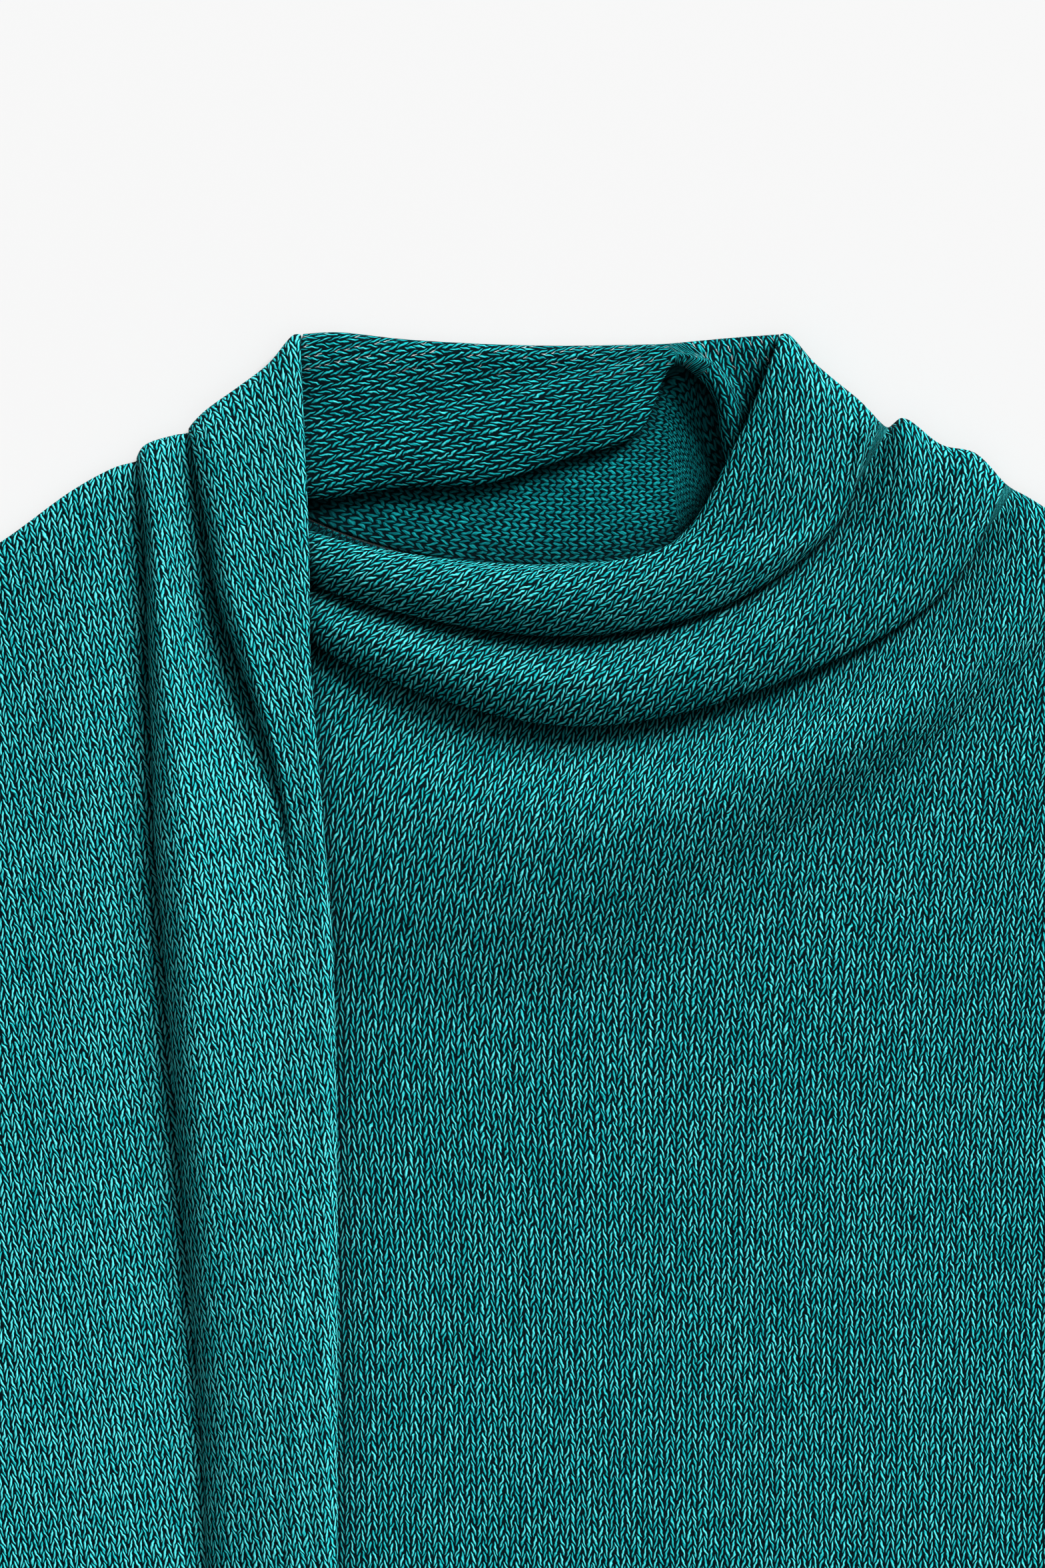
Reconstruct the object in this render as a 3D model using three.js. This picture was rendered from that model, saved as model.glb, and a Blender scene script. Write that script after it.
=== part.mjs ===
// A sleeveless knitted top with a high draped neck, laid flat, front up.
// Millimetres. X runs across the top, Y from hem to collar, Z up from the table.
// Every panel is one wall of knit, lofted through lines. A line follows a fold, an edge or a
// seam and has one point at each station; a wall's outer face is the right side of the knit.
import * as THREE from "three";

// Driving sizes.
const CLOTH = 1.2; // wall of the knit
const SEAM = 0.4; // gap between pieces that are sewn together
const HEM = -315; // bottom edge of the body
const HEM_HALF = 232; // half the width at the hem
const RESTING = CLOTH * 3; // height of a front that lies on the back
const TURNED = CLOTH * 3; // outer face to outer face of a folded edge
const ROUND = 5; // how far inside the outline a shoulder starts to round down
const TEAL = 0x1f8a8c;

// One armhole and side, from the shoulder tip down; x is the distance from the middle.
const SIDE = [
  { at: "tip", x: 212, y: 229 },
  { at: "below the tip", x: 210.6, y: 217 },
  { at: "armhole top", x: 208.5, y: 203 },
  { at: "armhole middle", x: 206, y: 140 },
  { at: "armhole low", x: 210, y: 74 },
  { at: "underarm", x: 226, y: 24 },
  { at: "waist", x: 228, y: -95 },
  { at: "hip", x: 230, y: -205 },
  { at: "hem", x: HEM_HALF, y: HEM },
];

// The seams behind the neck and the shoulders, under the outline: corner of the collar,
// foot of the collar, shoulder tip.
const SEAM_RIGHT = { corner: [87, 303], foot: [110, 279], tip: [206, 225] };
const SEAM_LEFT = { corner: [-86, 303], foot: [-117, 273], tip: [-206, 224] };

const point = (x, y, z) => new THREE.Vector3(x, y, z);
const mix = (a, b, t) => a + (b - a) * t;
const blend = (a, b, t) => a.clone().lerp(b, t);

// Points on a smooth curve through the given ones, with steps[i] steps after point i.
// The first straight segments are not curved.
function through(points, steps, straight = 0) {
  const curve = new THREE.CatmullRomCurve3(points, false, "centripetal");
  const found = [];
  for (let i = 0; i < points.length - 1; i++)
    for (let k = 0; k < steps[i]; k++) {
      const t = k / steps[i];
      if (i < straight) found.push(blend(points[i], points[i + 1], t));
      else found.push(curve.getPoint((i + t) / (points.length - 1)));
    }
  found.push(points[points.length - 1].clone());
  return found;
}

// A grid of points: first along each line, then across the lines.
function loft(lines, along, across, straight = {}) {
  const rows = lines.map((l) => through(l, along));
  const last = rows[0].length - 1;
  const columns = rows[0].map((_, c) => {
    const seam = (c === 0 && straight.first) || (c === last && straight.last) || 0;
    return through(rows.map((row) => row[c]), across, seam);
  });
  return columns[0].map((_, r) => columns.map((column) => column[r].setZ(Math.max(column[r].z, 0))));
}

// The step from a grid's outer point to the inner face, square to the strips on both sides.
function inwards(grid, r, c) {
  const row = grid[r];
  const along = row[Math.min(c + 1, row.length - 1)].clone().sub(row[Math.max(c - 1, 0)]);
  const facing = [r - 1, r]
    .filter((i) => i >= 0 && i + 1 < grid.length)
    .map((i) => grid[i + 1][c].clone().sub(grid[i][c]).cross(along).normalize());
  const normal = facing.reduce((sum, n) => sum.add(n), point(0, 0, 0)).normalize();
  const slant = Math.max(normal.dot(facing[0]), 0.7);
  return normal.multiplyScalar(-CLOTH / slant);
}

// A closed wall behind a grid of outer points.
function wall(name, grid) {
  const columns = grid[0].length;
  const count = grid.length * columns;
  const positions = [];
  grid.forEach((row) => row.forEach((p) => positions.push(...p)));
  grid.forEach((row, r) => row.forEach((p, c) => positions.push(...inwards(grid, r, c).add(p))));
  const faces = [];
  const quad = (a, b, c, d) => faces.push(a, b, c, a, c, d);
  for (let r = 0; r < grid.length - 1; r++)
    for (let c = 0; c < columns - 1; c++) {
      const [a, b] = [r * columns + c, (r + 1) * columns + c];
      quad(a, b, b + 1, a + 1);
      quad(a + count, a + 1 + count, b + 1 + count, b + count);
    }
  // the rim, walked once round
  const rim = [];
  for (let c = 0; c < columns - 1; c++) rim.push(c);
  for (let r = 0; r < grid.length - 1; r++) rim.push(r * columns + columns - 1);
  for (let c = columns - 1; c > 0; c--) rim.push(count - columns + c);
  for (let r = grid.length - 1; r > 0; r--) rim.push(r * columns);
  rim.forEach((a, i) => {
    const b = rim[(i + 1) % rim.length];
    quad(a, b, b + count, a + count);
  });
  const geometry = new THREE.BufferGeometry();
  geometry.setAttribute("position", new THREE.Float32BufferAttribute(positions, 3));
  geometry.setIndex(faces);
  geometry.computeVertexNormals();
  const mesh = new THREE.Mesh(
    geometry,
    new THREE.MeshStandardMaterial({ color: TEAL, roughness: 0.85, metalness: 0 }),
  );
  mesh.name = name;
  return mesh;
}

// A line beside a folded edge: length[i] back from the edge towards the next line, and out[i]
// in front of it on the upper layer, or behind it on the layer that is turned under.
function besideEdge(edge, next, length, out) {
  return edge.map((p, i) => {
    const back = next[i].clone().sub(p).setZ(0).normalize();
    const along = edge[Math.min(i + 1, edge.length - 1)].clone().sub(edge[Math.max(i - 1, 0)]);
    const up = back.clone().cross(along).normalize();
    return p.clone().addScaledVector(back, length[i]).addScaledVector(up, out[i]);
  });
}

// The right front drapes from the right shoulder to the left panel, and its left edge lies
// tucked under that panel. Lines run from the tucked edge to the outline; z holds the heights
// at the same six stations, or only at the tucked, the low and the outline station.
const DRAPE = [
  {
    line: "neck edge",
    tucked: [-95, 249], left: [-62, 239], low: [4, 232.5], rise: [47, 240], climb: [68, 273],
    outline: [88.4, 313.6], z: [5.8, 9.4, 10.5, 11.4, 14.6, 14],
  },
  {
    line: "collar panel",
    tucked: [-95, 245], left: [-62, 237], low: [4, 230.6], rise: [52, 241], climb: [86, 268],
    outline: [101, 303], z: [7.8, 12.6, 15.5, 16, 17.4, 15.5],
  },
  {
    line: "dip beside the neck roll",
    tucked: [-95, 242], left: [-62, 234], low: [4, 228], rise: [58, 238.5], climb: [104, 254],
    outline: [117.6, 289.6], z: [7.8, 18.4, 10.5],
  },
  {
    line: "neck roll",
    tucked: [-95, 238], left: [-63, 226], low: [6, 216], rise: [61, 228], climb: [106, 247],
    outline: [121.5, 285.5], z: [7.2, 20, 12],
  },
  {
    line: "under the neck roll",
    tucked: [-95, 231], left: [-63, 218], low: [8, 206], rise: [64, 216], climb: [104, 243],
    outline: [125, 282], z: [5.6, 12.5, 9], tuck: 4, tuckZ: [4.6, 5.2, 8.4],
  },
  {
    line: "middle roll",
    tucked: [-95, 220], left: [-63, 205], low: [10, 190], rise: [74, 201], climb: [126, 236],
    outline: [133, 283.2], z: [6.6, 17, 13.5],
  },
  {
    line: "dent in the middle roll",
    tucked: [-95, 218.4], left: [-63, 202.5], low: [10.5, 186.3], rise: [76.2, 198],
    climb: [131.5, 233], outline: [147.5, 273.4], z: [6.5, 16.8, 11.8],
  },
  {
    line: "middle roll's lower half",
    tucked: [-95, 216], left: [-63, 199], low: [11, 181], rise: [79, 194], climb: [137, 229],
    outline: [159.5, 270.5], z: [6.3, 15.8, 12.6],
  },
  {
    line: "under the middle roll",
    tucked: [-95, 212], left: [-63, 193.5], low: [12, 173.4], rise: [84, 188], climb: [147, 222],
    outline: [171, 259.4], z: [5.4, 10.5, 8.5], tuck: 3, tuckZ: [4.4, 5, 6.4],
  },
  {
    line: "above the low roll",
    tucked: [-95, 196], left: [-63, 174], low: [13, 164], rise: [88, 179], climb: [149, 213],
    outline: [179, 254.6], z: [4.4, 5.4, 6, 7, 9, 8.6],
  },
  {
    line: "low roll",
    tucked: [-95, 148], left: [-63, 144], low: [14, 140], rise: [90, 161], climb: [151, 193],
    outline: [195, 244], z: [4.5, 9, 15.6, 19.4, 18.8, 10.5],
  },
  {
    line: "low roll's brow",
    tucked: [-95, 112], left: [-63, 108], low: [14, 115], rise: [88, 148], climb: [150, 182],
    outline: [204, 237], z: [4.3, 9, 14.8, 17.8, 16, 8.6],
  },
  {
    line: "low roll's foot",
    tucked: [-95, 90], left: [-63, 86], low: [15, 93], rise: [84, 130], climb: [148, 169],
    outline: [212, 229], z: [4.1, 6.8, 9.6, 10.6, 9, 5],
  },
];
const BELOW = [
  {
    line: "armhole start", z: [4.1, 4.8, 5.4, 5.8, 5.2], curl: 1,
    left: [-63, 68], low: [15, 74], rise: [83, 107], climb: [156, 154],
  },
  {
    line: "under the low roll", z: [4.1, 4.4, 4.5, 4.6, 4.4],
    left: [-63, 53], low: [16, 58], rise: [80, 89], climb: [158, 137],
  },
  { line: "armhole middle", z: 4.1, left: [-63, 38], low: [16, 41], rise: [82, 64], climb: [156, 108] },
  { line: "armhole low", z: 4, left: [-63, 16], low: [16, 18], rise: [84, 30], climb: [158, 54] },
  { line: "underarm", z: 4, left: [-63, -20], low: [16, -20], rise: [86, -10], climb: [164, 8] },
  { line: "waist", z: 3.9, left: [-63, -105], low: [16, -105], rise: [88, -102], climb: [166, -98] },
  { line: "hip", z: 3.9, left: [-63, -205], low: [16, -205], rise: [88, -205], climb: [166, -205] },
  { line: "hem", z: RESTING, left: [-63, HEM], low: [16, HEM], rise: [88, HEM], climb: [166, HEM] },
];

// Heights at the six stations of a drape line.
function heights(z) {
  if (z.length === 6) return z;
  const [tucked, low, outline] = z;
  const [rise, climb] = [mix(low, outline, 0.2), mix(low, outline, 0.72)];
  return [tucked, mix(tucked, low, 0.62), low, rise, climb, outline];
}

// The end of a line that goes over a shoulder and under to its seam, at the height low.
function overShoulder(before, outline, z, seam, low = 0) {
  const foot = point(seam[0], seam[1], low);
  const edge = point(outline[0], outline[1], (z + low) / 2);
  const inside = before.clone().sub(edge).setZ(0).setLength(Math.min(ROUND, z / 2));
  return [edge.clone().add(inside).setZ(z), edge, blend(edge, foot, 0.5).setZ(low), foot];
}

// The same four points where the line ends in an open edge, curled down at the shoulder tip.
const openEdge = (side, z, curl) =>
  [9, 4, 1.5, 0].map((inset, i) =>
    point(side.x - inset, side.y, z - [0, 0.1, 0.3, 0.5][i] - curl * [0, 0.4, 1.3, 2.4][i]),
  );

function frontRight() {
  const lines = [];
  const { corner, foot, tip } = SEAM_RIGHT;
  for (const fold of DRAPE) {
    const stations = [fold.tucked, fold.left, fold.low, fold.rise, fold.climb];
    // seams are straight: from the corner to the foot of the collar, then to the tip
    const [neckX, footX, tipX] = [0, 2, DRAPE.length - 1].map((i) => DRAPE[i].outline[0]);
    const x = fold.outline[0];
    const onNeck = x <= footX;
    const t = onNeck ? (x - neckX) / (footX - neckX) : (x - footX) / (tipX - footX);
    const [from, to] = onNeck ? [corner, foot] : [foot, tip];
    const seam = [mix(from[0], to[0], t), mix(from[1], to[1], t)];
    const build = (z, tuck) => {
      const [up, top] = [heights(z), heights(fold.z)];
      const body = stations.map(([px, py], i) => {
        const [a, b] = [stations[Math.max(i - 1, 0)], stations[i + 1] ?? fold.outline];
        const run = point(b[0] - a[0], b[1] - a[1], 0).normalize();
        // a shallow fold opens below its edge instead of being tucked behind it
        const shift = Math.min(tuck, 1.1 * (top[i] - up[i]) - 3);
        return point(px - run.y * shift, py + run.x * shift, up[i]);
      });
      const low = fold.line === "neck edge" ? TURNED / 2 : 0;
      return [...body, ...overShoulder(body[4], fold.outline, up[5], seam, low)];
    };
    lines.push(build(fold.z, 0));
    if (fold.tuck) {
      const under = build(fold.tuckZ, fold.tuck);
      // at the outline the valley opens beside the edge instead of under it
      const shift = point(3, -2, 0);
      const seamStep = point(to[0] - from[0], to[1] - from[1], 0).normalize().multiplyScalar(3);
      [5, 6].forEach((i) => under[i].add(shift));
      [7, 8].forEach((i) => under[i].add(seamStep));
      lines.push(under);
    }
  }
  BELOW.forEach((level, i) => {
    const side = SIDE[i + 1];
    const up = [0, 0.8, 0, 1.3, 0].map((ripple, k) => (level.z[k] ?? level.z) + ripple * (1 - i / 7));
    const body = [[-95, level.left[1] + 3], level.left, level.low, level.rise, level.climb].map(
      ([px, py], k) => point(px, i === 7 ? HEM : py, up[k]),
    );
    lines.push([...body, ...openEdge(side, up[4], level.curl ?? 0)]);
  });
  const [neck, panel] = lines;
  const lip = (length, out) => besideEdge(neck, panel, length, out);
  const flat = new Array(4).fill(TURNED / 2);
  const front = [TURNED / 2, 2, 2.4, 2, TURNED / 2, ...flat];
  const behind = [TURNED / 2, 2.4, 3, 2.4, TURNED / 2, ...flat].map((d) => -d);
  lines.splice(1, 0, lip([2, 1.3, 1, 1.3, 2, 2, 2, 2, 2], front));
  lines.unshift(lip([2, 2, 2.5, 2, 2, 2, 2, 2, 2], behind));
  lines.unshift(lip([6, 7, 8, 7, 5, 4, 4, 4, 4], behind));
  const across = [1, 2, 2, 1, 2, 2, 3, 1, 4, 2, 1, 2, 1, 2, 3, 2, 2, 1, 1, 1, 2, 2, 2, 2, 1];
  return loft(lines, [4, 4, 4, 4, 2, 2, 2, 1], across, { last: 18 });
}

// The left front: one row for each level from the outline down to the hem.
// fold: the folded edge that lies on the right front, which turns under by the height turn;
// inner and outer: the edges of the two pleats; side: the armhole and side. z: heights of the
// panel beside the fold, the inner and the outer pleat, of the strip outside and of the side;
// dip: the valleys under the two pleats; lap: how far they lie behind the pleat edges.
const LEVELS = [
  {
    fold: [-87, 313.6], inner: [-127, 278.3], outer: [-145.3, 266.7], side: [-212, 229],
    turn: 3.6, z: [11.4, 12, 10.5, 6, 5.2], dip: [8, 7.5], lap: [0, 0],
  },
  {
    fold: [-84.8, 268], inner: [-121.5, 243], outer: [-144, 238], side: [-208.5, 203],
    turn: 4, z: [14.4, 14, 12.4, 6.8, 4.4], dip: [5, 4.4], lap: [3, 3],
  },
  {
    fold: [-83.4, 232], inner: [-117, 216], outer: [-143.2, 212], side: [-207, 180],
    turn: 3.8, z: [15, 14.6, 13, 6.8, 4], dip: [4, 3.8], lap: [3.5, 4],
  },
  {
    fold: [-83, 194], inner: [-108, 190], outer: [-142.4, 184], side: [-206, 150],
    turn: 3.8, z: [13.6, 14.2, 13.6, 6.4, 3.8], dip: [4, 3.6], lap: [3.5, 4],
  },
  {
    fold: [-80.3, 160], inner: [-99, 163], outer: [-141.2, 155], side: [-206, 122],
    turn: 4.4, z: [13.2, 12, 15, 5.8, 3.8], dip: [6, 5], lap: [2, 4],
  },
  {
    fold: [-77.9, 130], inner: [-92, 136], outer: [-140.2, 127], side: [-208, 90],
    turn: 5, z: [14.2, 11.8, 16, 5.2, 3.8], dip: [9.2, 6], lap: [0.5, 3.5],
  },
  {
    fold: [-75, 94], inner: [-89.5, 98], outer: [-137.4, 94], side: [-214, 55],
    turn: 6, z: [15.6, 13.8, 16, 5, 3.8], dip: [12.6, 5.2], lap: [0, 2],
  },
  {
    fold: [-73.6, 46], inner: [-91.5, 46], outer: [-133.8, 44], side: [-226, 24],
    turn: 7.6, z: [17, 16.4, 14.8, 4.8, 3.6], dip: [15.6, 4.2], lap: [0, 1],
  },
  {
    fold: [-73, -20], inner: [-92, -20], outer: [-128.6, -20], side: [-227, -36],
    turn: 8.6, z: [18, 17.8, 12.8, 4.6, 3.6], dip: [17.2, 3.8], lap: [0, 0.4],
  },
  {
    fold: [-73, -100], inner: [-91, -100], outer: [-122.4, -100], side: [-228.5, -110],
    turn: 8.6, z: [18.4, 17.6, 10.8, 4.4, 3.4], dip: [16.8, 3.6], lap: [0, 0],
  },
  {
    fold: [-73, -205], inner: [-91, -205], outer: [-120, -205], side: [-230.5, -208],
    turn: 7, z: [14, 13.2, 8.2, 4.2, 3.3], dip: [12.6, 3.6], lap: [0, 0],
  },
  {
    fold: [-73, HEM], inner: [-91, HEM], outer: [-116, HEM], side: [-HEM_HALF, HEM],
    turn: 4, z: [8, 8, 6, 3.9, 3.3], dip: [7.8, 4.4], lap: [0, 0],
  },
];
const [AT_FOLD, AT_INNER, AT_OUTER, AT_STRIP, AT_SIDE] = [0, 1, 2, 3, 4]; // places in z

function frontLeft() {
  const { corner, foot, tip } = SEAM_LEFT;
  // a line at the share t of the way from one edge to the other, dx further right, at height z
  // swell: how far a line goes out over the straight outline between the two edges
  const down = (from, to, t, dx, z, seamAt, swell = 0) => {
    const edge = (level) => [
      mix(level[from][0], level[to][0], t) + dx(level), mix(level[from][1], level[to][1], t),
    ];
    const body = LEVELS.map((level) => point(...edge(level), z(level)));
    const [a, b, s] = seamAt < 1 ? [corner, foot, seamAt] : [foot, tip, seamAt - 1];
    const seam = [mix(a[0], b[0], s), mix(a[1], b[1], s)];
    const low = seamAt === 0 ? TURNED / 2 : 0;
    const [x, y] = edge(LEVELS[0]);
    const outline = [x - swell / 2, y + swell * 0.87];
    return [...overShoulder(body[1], outline, z(LEVELS[0]), seam, low).reverse(), ...body.slice(1)];
  };
  const none = () => 0;
  const high = (place) => (l) => l.z[place];
  const between = (dip, place, t) => (l) => mix(l.dip[dip], l.z[place], t);
  const fold = down("fold", "fold", 0, none, (l) => l.z[AT_FOLD] - l.turn / 2, 0);
  const plateau = down("fold", "inner", 0.3, none, high(AT_FOLD), 0.3);
  const half = fold.map((_, i) => LEVELS[Math.max(i - 3, 0)].turn / 2);
  const tucked = fold.map((_, i) => [4, 4, 4, 5, 14][i] ?? 16);
  const lines = [
    besideEdge(fold, plateau, tucked, half.map((d) => -d)),
    besideEdge(fold, plateau, half, half.map((d) => -d)),
    fold,
    besideEdge(fold, plateau, half, half),
    plateau,
    down("fold", "inner", 0.56, none, (l) => mix(l.z[AT_FOLD], l.z[AT_INNER], 0.5) - 0.3, 0.56, 1),
    down("fold", "inner", 0.86, none, high(AT_INNER), 0.86, 2.4),
    down("fold", "inner", 1, none, between(0, AT_INNER, 0.5), 1, 1.6),
    down("inner", "outer", 0, (l) => l.lap[0] - 1, between(0, AT_INNER, 0), 1.03),
    down("inner", "outer", 0.3, none, between(0, AT_OUTER, 0.25), 1.07, 2.6),
    down("inner", "outer", 0.8, none, high(AT_OUTER), 1.14, 5),
    down("inner", "outer", 1, none, between(1, AT_OUTER, 0.3), 1.19, 3),
    down("outer", "side", 0, (l) => l.lap[1] - 1, between(1, AT_OUTER, 0), 1.23, 1.5),
    down("outer", "side", 0.12, none, between(1, AT_STRIP, 0.45), 1.3, 3.8),
    down("outer", "side", 0.34, none, (l) => l.z[AT_STRIP] + 0.3, 1.5, 4.2),
    down("outer", "side", 0.72, none, (l) => mix(l.z[AT_STRIP], l.z[AT_SIDE], 0.6), 1.75, 1),
    down("outer", "side", 0.95, none, (l) => l.z[AT_SIDE] + 0.2, 1.95),
    down("outer", "side", 1, none, high(AT_SIDE), 2),
  ];
  const across = [1, 2, 2, 1, 1, 2, 2, 1, 2, 2, 2, 1, 2, 2, 2, 2, 1];
  return loft(lines, [1, 2, 2, 2, 2, 2, 2, 2, 2, 2, 2, 2, 2, 2], across, { first: 17 });
}

// The doubled band behind the neck. One row for each section, from left to right: out of the
// neck seam, up the outside to the fold on top, and down the inside to a roll. The roll slants
// up to a notch; right of it the inside ends in an arch.
// seam and fold: its lower and upper edge; level: a point of the outside near the fold;
// crest and lip: the top and the lower edge of the roll.
const SECTIONS = [
  {
    at: "left end", seam: [-116.4, 273.1], level: [-84.8, 303], fold: [-83.8, 314.2],
    crest: [-97, 268], lip: [-97, 255], crestZ: 7.4,
  },
  {
    at: "left panel", seam: [-90, 250], level: [-76, 303], fold: [-74, 315],
    crest: [-82, 267.5], lip: [-82, 253.4], crestZ: 8,
  },
  {
    at: "left", seam: [-55, 236], level: [-50, 301], fold: [-50, 312.5],
    crest: [-51, 273.5], lip: [-52, 257.5], crestZ: 8.8,
  },
  {
    at: "left middle", seam: [-18, 229], level: [-20, 300], fold: [-22, 310.8],
    crest: [-20, 281.5], lip: [-18, 259.4], crestZ: 9,
  },
  {
    at: "middle", seam: [12, 228], level: [6, 300], fold: [4, 310.1],
    crest: [2, 291], lip: [10, 268.4], crestZ: 8.8,
  },
  {
    at: "right middle", seam: [36, 231], level: [28, 300.5], fold: [28, 310.3],
    crest: [24, 298], lip: [36, 277.5], crestZ: 8,
  },
  {
    at: "notch", seam: [52, 236.5], level: [45, 301], fold: [47, 310.8],
    crest: [50, 306], lip: [49.5, 302.3], crestZ: 7,
  },
  {
    at: "top of the arch", seam: [66, 244.5], level: [57, 302], fold: [58, 311.8],
    crest: [62.5, 302], lip: [58.5, 297.5], crestZ: 11.8,
  },
  {
    at: "arch", seam: [80, 254.5], level: [68, 302.5], fold: [69, 312.8],
    crest: [69, 292.5], lip: [64.3, 289], crestZ: 12.2,
  },
  {
    at: "foot of the arch", seam: [95, 267], level: [78, 303], fold: [79, 313.6],
    crest: [73.5, 277], lip: [66.6, 275], crestZ: 9.8,
  },
  {
    at: "right end", seam: [109.4, 279.2], level: [86, 303], fold: [85.6, 313.8],
    crest: [78, 262], lip: [70, 260], crestZ: 6.4,
  },
];
const BAND_INSIDE = 5.5; // height of the inner layer of the band
const BAND_TUCK = 2.3; // height of its turned lower edge

function collar() {
  const across = (from, to, t, z) =>
    SECTIONS.map((s) => point(mix(s[from][0], s[to][0], t), mix(s[from][1], s[to][1], t), z(s)));
  // the same, a distance in millimetres from the first edge
  const beside = (from, to, distance, z) =>
    SECTIONS.map((s) => {
      const [a, b] = [point(...s[from], z(s)), point(...s[to], z(s))];
      return a.add(b.sub(a).setLength(distance));
    });
  const lines = [
    across("seam", "level", 0, () => 0),
    across("seam", "level", 0.5, () => 0),
    across("seam", "level", 1, () => 0),
    beside("fold", "level", BAND_INSIDE / 2, () => 0),
    across("level", "fold", 1, () => BAND_INSIDE / 2),
    beside("fold", "crest", BAND_INSIDE / 2, () => BAND_INSIDE),
    across("fold", "crest", 0.6, (s) => mix(BAND_INSIDE, s.crestZ, 0.12)),
    across("crest", "lip", 0, (s) => s.crestZ),
    across("crest", "lip", 0.72, (s) => s.crestZ * 0.94),
    across("crest", "lip", 1, (s) => mix(BAND_TUCK, s.crestZ, 0.5)),
    beside("lip", "crest", 2.4, () => BAND_TUCK),
  ];
  return loft(lines, [1, 2, 2, 2, 2, 3, 2, 2, 2, 1], [1, 2, 2, 2, 2, 2, 2, 2, 2, 2], { first: 3, last: 3 });
}

// The back lies flat on the table under the fronts, sewn to the collar and along the shoulders.
function back(neckSeam) {
  const along = (from, to, t) => {
    const run = point(to[0] - from[0], to[1] - from[1], 0);
    const into = point(Math.abs(run.y), -Math.abs(run.x), 0).normalize();
    into.x *= -Math.sign(from[0]);
    return point(from[0], from[1], 0).addScaledVector(run, t).addScaledVector(into, SEAM);
  };
  const shares = [0.02, 0.3, 0.65];
  const highest = [
    ...shares.map((t) => along(SEAM_LEFT.foot, SEAM_LEFT.tip, t)).reverse(),
    ...neckSeam.slice(1, -1).map((p) => point(p.x, p.y - SEAM * 1.3, 0)),
    ...shares.map((t) => along(SEAM_RIGHT.foot, SEAM_RIGHT.tip, t)),
  ];
  highest.unshift(along(SEAM_LEFT.foot, SEAM_LEFT.tip, 0.985));
  highest.push(along(SEAM_RIGHT.foot, SEAM_RIGHT.tip, 0.985));
  const reach = highest[highest.length - 1].x;
  const inset = 1.2; // the back's armhole and side lie inside the front's
  const lines = SIDE.slice(2).map((level) => {
    const half = level.x - (level.at === "hem" ? 0 : inset) - (level.at === "armhole top" ? 3 : 0);
    return highest.map((p) => point((p.x / reach) * half, level.y, 0));
  });
  lines.unshift(highest);
  return loft(lines.reverse(), highest.slice(1).map(() => 1), [1, 1, 2, 1, 1, 1, 1]);
}

const band = collar();
const top = new THREE.Group();
top.add(wall("back", back(band[0])));
top.add(wall("collar", band));
top.add(wall("front_right", frontRight()));
top.add(wall("front_left", frontLeft()));

export default top;
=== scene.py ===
"""A sleeveless knitted top with a high draped neck, laid flat on a pale table, front up.

Lengths in the tables are millimetres: x across the top, y from hem to collar, z up from the
table. Each panel is one wall of knit, lofted through lines that follow its folds and edges.
"""
import math

import bpy
import numpy as np
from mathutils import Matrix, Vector


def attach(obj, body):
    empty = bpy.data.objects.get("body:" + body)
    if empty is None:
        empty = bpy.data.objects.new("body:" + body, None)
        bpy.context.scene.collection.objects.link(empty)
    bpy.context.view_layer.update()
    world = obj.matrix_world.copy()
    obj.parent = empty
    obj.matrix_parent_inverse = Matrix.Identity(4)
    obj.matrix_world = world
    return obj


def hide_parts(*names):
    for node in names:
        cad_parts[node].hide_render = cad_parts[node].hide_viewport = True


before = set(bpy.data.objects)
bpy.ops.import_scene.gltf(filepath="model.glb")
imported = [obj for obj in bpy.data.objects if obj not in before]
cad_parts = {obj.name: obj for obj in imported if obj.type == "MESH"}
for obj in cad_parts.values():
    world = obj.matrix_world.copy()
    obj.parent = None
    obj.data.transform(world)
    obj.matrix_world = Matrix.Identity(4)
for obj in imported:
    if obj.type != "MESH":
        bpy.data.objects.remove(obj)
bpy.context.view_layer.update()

MM = 0.001
CLOTH = 1.2  # wall of the knit
SEAM = 0.4  # gap between pieces that are sewn together
HEM = -315.0  # bottom edge of the body
HEM_HALF = 232.0  # half the width at the hem
RESTING = CLOTH * 3  # height of a front that lies on the back
TURNED = CLOTH * 3  # outer face to outer face of a folded edge
ROUND = 5.0  # how far inside the outline a shoulder starts to round down
WALE = 4.0  # width of one stitch
COURSE = 3.6  # height of one stitch
SEEN_TO = -150.0  # below this the cloth is plain, and its mesh coarser
SLIP = 0.01  # how firmly the knit holds together where it may slip
WHOLE = 99  # a length of slack past the last line

SIDE = [(212, 229), (210.6, 217), (208.5, 203), (206, 140), (210, 74), (226, 24), (228, -95),
        (230, -205), (HEM_HALF, HEM)]  # armhole and side, from the shoulder tip down
SEAM_RIGHT = {"corner": (87, 303), "foot": (110, 279), "tip": (206, 225)}
SEAM_LEFT = {"corner": (-86, 303), "foot": (-117, 273), "tip": (-206, 224)}

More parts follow.
